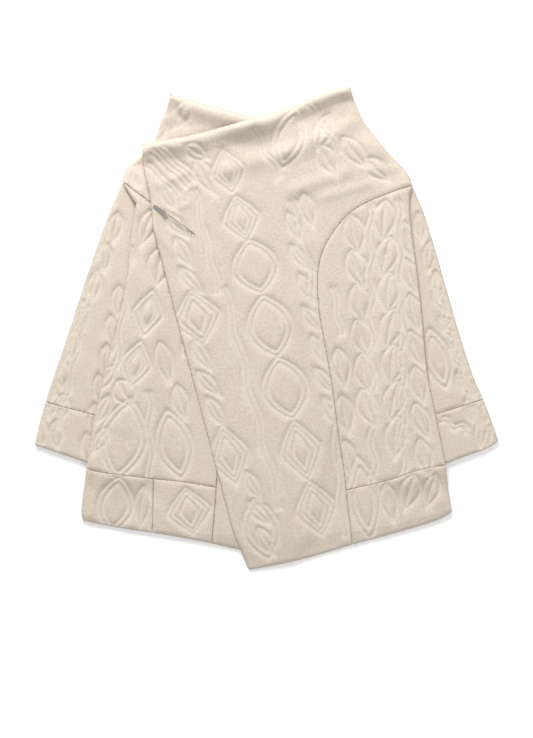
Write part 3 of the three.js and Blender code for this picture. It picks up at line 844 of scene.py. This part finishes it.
class CARDIGAN_OT_pin(bpy.types.Operator):
    """Makes the long pin: a wire with a coil, whose needle dips through the cloth, and its cap"""
    bl_idname = "cardigan.pin"
    bl_label = "Pin"

    def execute(self, context):
        settings = context.scene.cardigan_pin
        cap_low, cap_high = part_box("pin_cap")
        wire_low, wire_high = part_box("pin_wire")
        start = np.array([cap_low.x, cap_high.y]) / MM + CAP_END
        end = np.array([wire_high.x, wire_low.y]) / MM + COIL_END
        along = (end - start) / np.hypot(*(end - start))
        across = np.array([-along[1], along[0]])
        long = np.hypot(*(end - start))
        radius, coil, cap = settings.wire / 2 / MM, settings.coil / MM, settings.cap / MM
        heights = [over_top(*(start + along * s)) for s in np.linspace(0, long, 9)]
        slope = (heights[-1] - heights[0]) / long
        clear = max(h - heights[0] - slope * s for h, s in zip(heights, np.linspace(0, long, 9)))

        def place(s, side, over):
            x, y = start + along * s + across * side
            return (x * MM, y * MM, (heights[0] + clear + slope * s + over) * MM)

        arm = [place(s, coil, WIRE_LIFT) for s in np.linspace(WIRE_IN_CAP, long, 12)]
        loop = [place(long + coil * math.sin(a), coil * math.cos(a), WIRE_LIFT - COIL_PITCH * a / math.tau)
                for a in np.linspace(0, COIL_TURNS * math.tau, 40)]
        shares = np.linspace(0, 1, 30)
        depths = np.interp(shares, *zip(*NEEDLE))
        needle = [place(long - share * (long - WIRE_IN_CAP), -coil, depth)
                  for share, depth in zip(shares, depths)]
        steel = finish_of(plated_steel, settings)
        wire = wire_piece("pin_wire.steel", arm + loop[1:] + needle[1:], radius * MM, steel)
        declare(wire, "pin_wire")

        form = bmesh.new()
        bmesh.ops.create_cube(form, size=1.0)
        for vertex in form.verts:
            s = cap / 2 + vertex.co.x * cap
            taper = CAP_TAPER if vertex.co.x < 0 else 1.0
            vertex.co = place(s, vertex.co.y * CAP_WIDTH * taper, CAP_LIFT + vertex.co.z * CAP_HEIGHT * taper)
        bmesh.ops.bevel(form, geom=form.edges[:], offset=CAP_ROUND * MM, segments=4, affect="EDGES",
                        profile=0.6)
        mesh = bpy.data.meshes.new("pin_cap.steel")
        form.to_mesh(mesh)
        form.free()
        mesh.polygons.foreach_set("use_smooth", np.ones(len(mesh.polygons), bool))
        mesh.materials.append(steel)
        piece = bpy.data.objects.new("pin_cap.steel", mesh)
        context.scene.collection.objects.link(piece)
        declare(piece, "pin_cap")
        return {"FINISHED"}


class CARDIGAN_OT_stage(bpy.types.Operator):
    """Makes the white floor, the soft light and the camera that looks straight down"""
    bl_idname = "cardigan.stage"
    bl_label = "Stage"

    def execute(self, context):
        scene = context.scene
        settings = scene.cardigan_stage
        mesh = bpy.data.meshes.new("floor")
        corners = [(x * FLOOR_REACH, y * FLOOR_REACH, 0) for x, y in ((-1, -1), (1, -1), (1, 1), (-1, 1))]
        mesh.from_pydata(corners, [], [(0, 1, 2, 3)])
        floor = bpy.data.objects.new("floor", mesh)
        scene.collection.objects.link(floor)
        material, tree = new_material("White paper, matte")
        path = node_in(tree, "ShaderNodeLightPath")
        diffuse = node_in(tree, "ShaderNodeBsdfDiffuse", Color=linear(settings.floor))
        glow = node_in(tree, "ShaderNodeEmission", Color=linear(settings.floor))
        seen = node_in(tree, "ShaderNodeMath", {"operation": "MAXIMUM"}, i0=path.outputs["Is Camera Ray"],
                       i1=path.outputs["Is Glossy Ray"])
        seen = node_in(tree, "ShaderNodeMath", {"operation": "MAXIMUM"}, i0=seen.outputs[0],
                       i1=path.outputs["Is Transmission Ray"])
        weak = node_in(tree, "ShaderNodeMath", {"operation": "MULTIPLY"}, i0=seen.outputs[0],
                       i1=FLOOR_GLOW)
        tree.links.new(weak.outputs[0], glow.inputs["Strength"])
        both = node_in(tree, "ShaderNodeAddShader", i0=diffuse.outputs[0], i1=glow.outputs[0])
        node_in(tree, "ShaderNodeOutputMaterial", Surface=both.outputs[0])
        floor.data.materials.append(material)

        world = bpy.data.worlds.new("Soft room")
        world.use_nodes = True
        world.node_tree.nodes["Background"].inputs["Color"].default_value = (1.0, 1.0, 1.0, 1.0)
        world.node_tree.nodes["Background"].inputs["Strength"].default_value = ROOM_LIGHT
        scene.world = world
        for name, where, size, power in LAMPS:
            lamp = bpy.data.lights.new(name, "AREA")
            lamp.size = size
            lamp.energy = power
            holder = bpy.data.objects.new(name, lamp)
            holder.location = where
            holder.rotation_euler = (-Vector(where)).to_track_quat("-Z", "Y").to_euler()
            scene.collection.objects.link(holder)

        camera = bpy.data.objects.new("camera", bpy.data.cameras.new("camera"))
        camera.location = (0.0, -settings.below, settings.distance)
        camera.data.sensor_width = SENSOR
        camera.data.lens = SENSOR * settings.distance / settings.field
        camera.data.clip_end = 20.0
        scene.collection.objects.link(camera)
        scene.camera = camera
        scene.view_settings.view_transform = "Standard"
        return {"FINISHED"}


class CARDIGAN_PT_panel(bpy.types.Panel):
    """Lists the steps in the order in which the cardigan is laid out"""
    bl_idname = "CARDIGAN_PT_panel"
    bl_label = "Wrap cardigan"
    bl_space_type = "VIEW_3D"
    bl_region_type = "UI"
    bl_category = "Cardigan"

    def draw(self, context):
        for step in STEPS:
            self.layout.operator(step.bl_idname)


STEPS = (CARDIGAN_OT_stage, CARDIGAN_OT_sleeves, CARDIGAN_OT_back, CARDIGAN_OT_under_front,
         CARDIGAN_OT_over_front, CARDIGAN_OT_pin)
SETTINGS = (("cardigan_wool", WoolSettings), ("cardigan_pin", PinSettings),
            ("cardigan_stage", StageSettings))


def register():
    for _, group in SETTINGS:
        bpy.utils.register_class(group)
    for name, group in SETTINGS:
        setattr(bpy.types.Scene, name, PointerProperty(type=group))
    for step in (*STEPS, CARDIGAN_PT_panel):
        bpy.utils.register_class(step)


def unregister():
    for step in (*STEPS, CARDIGAN_PT_panel):
        bpy.utils.unregister_class(step)
    for name, group in SETTINGS:
        delattr(bpy.types.Scene, name)
        bpy.utils.unregister_class(group)


def main():
    register()
    for step in STEPS:
        area, name = step.bl_idname.split(".")
        getattr(getattr(bpy.ops, area), name)()


if __name__ == "__main__":
    main()
